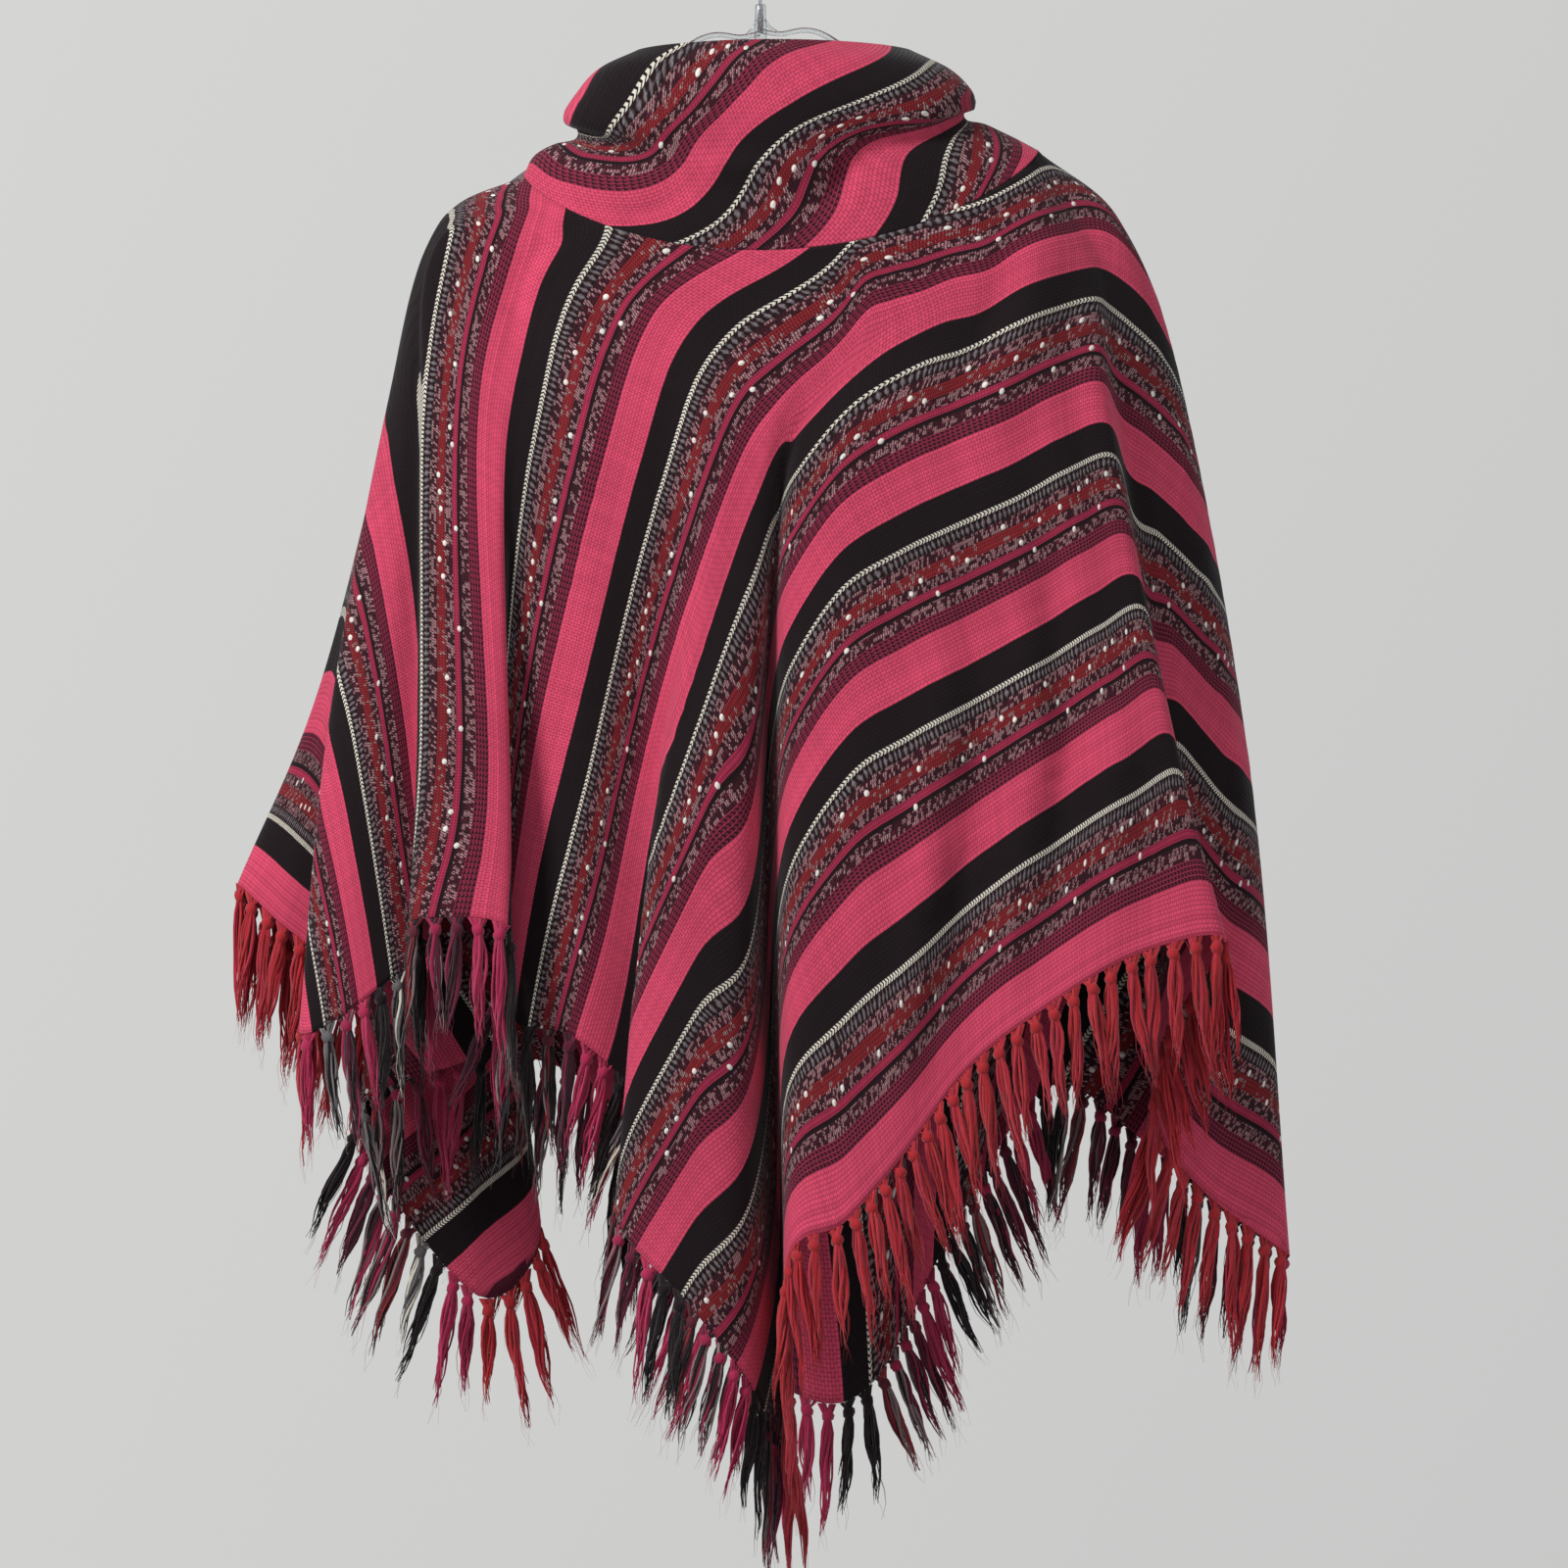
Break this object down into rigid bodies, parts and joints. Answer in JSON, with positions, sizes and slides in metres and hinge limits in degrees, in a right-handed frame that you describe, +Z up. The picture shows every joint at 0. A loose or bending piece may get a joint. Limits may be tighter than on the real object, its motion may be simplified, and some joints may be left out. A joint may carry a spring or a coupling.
{
  "type": "fringed woven poncho on a hanger",
  "caption": "Striped woven poncho with a tall slouched collar and knotted fringe all round, draped in folds over a clear clothes hanger with a steel hook.",
  "frame": {"origin": "inside top of the hanger's hook, where a rod or wall hook carries it", "axes": "+Z up, the poncho's front faces -Y, +X to the viewer's right when facing the front"},
  "size_m": [0.7149, 0.2434, 1.1088],
  "materials": {
    "clear_plastic": "clear moulded plastic",
    "steel_wire": "plain steel wire",
    "woven_cloth": "plain weave wool blend in pink, black, red and grey slub stripes",
    "warp_fringe": "knotted warp ends in the stripes' colours",
    "red_fringe": "knotted red yarn"
  },
  "bodies": {
    "root": {"hanger": "clear_plastic", "hanger_hook": "steel_wire", "body": "woven_cloth", "collar": "woven_cloth", "fringe_front_left": "warp_fringe", "fringe_front_right": "red_fringe", "fringe_back_right": "warp_fringe", "fringe_back_left": "red_fringe"}
  },
  "joints": []
}
